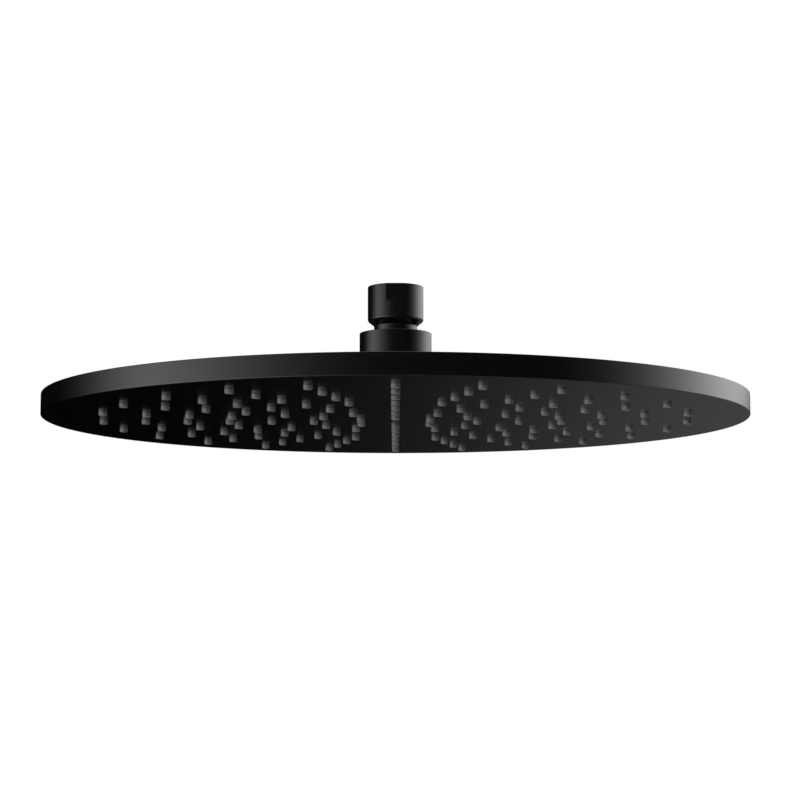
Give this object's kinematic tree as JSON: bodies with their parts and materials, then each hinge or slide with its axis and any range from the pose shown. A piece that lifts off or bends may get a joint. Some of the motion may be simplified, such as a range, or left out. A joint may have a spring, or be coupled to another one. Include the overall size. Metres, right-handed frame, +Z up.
{
  "type": "rain shower head",
  "caption": "Round flat rain shower head with soft nozzles on its underside, a ball joint in a smooth collar and a threaded inlet socket on top.",
  "frame": {"origin": "middle of the inlet socket's mouth, on the shower head's axis", "axes": "+Z up along the axis into the shower arm, -Y towards the front, where one wrench flat faces"},
  "size_m": [0.3, 0.3, 0.0595],
  "materials": {
    "black_plastic": "satin black coat on moulded plastic",
    "silicone": "soft grey silicone",
    "grey_plastic": "plain moulded plastic",
    "white_plastic": "natural acetal",
    "seal_rubber": "moulded rubber",
    "steel": "stainless steel",
    "bare_brass": "turned brass",
    "black_brass": "satin black coat on turned brass"
  },
  "bodies": {
    "connector": {"ball_connector": "black_brass", "flow_limiter": "white_plastic", "limiter_ring": "seal_rubber", "filter_screen": "steel", "inlet_washer": "seal_rubber"},
    "liner": {"ball_liner": "white_plastic"},
    "seat": {"ball_seat": "seal_rubber"},
    "head": {"spray_face": "black_plastic", "nozzle_mat": "silicone", "mat_retainer": "grey_plastic", "retainer_screws": "steel", "chamber_seal": "seal_rubber", "back_cover": "black_plastic", "housing_seal": "seal_rubber", "ball_housing": "bare_brass", "collar": "black_brass"}
  },
  "joints": [
    {"name": "tilt_front_back", "type": "hinge", "parent": "connector", "child": "liner", "pos_m": [0, 0, -0.029], "axis": [1, 0, 0], "range_deg": [-12, 12]},
    {"name": "tilt_side_to_side", "type": "hinge", "parent": "liner", "child": "seat", "pos_m": [0, 0, -0.029], "axis": [0, 1, 0], "range_deg": [-12, 12]},
    {"name": "head_turn", "type": "hinge", "parent": "seat", "child": "head", "pos_m": [0, 0, -0.029], "axis": [0, 0, 1], "continuous": true}
  ]
}
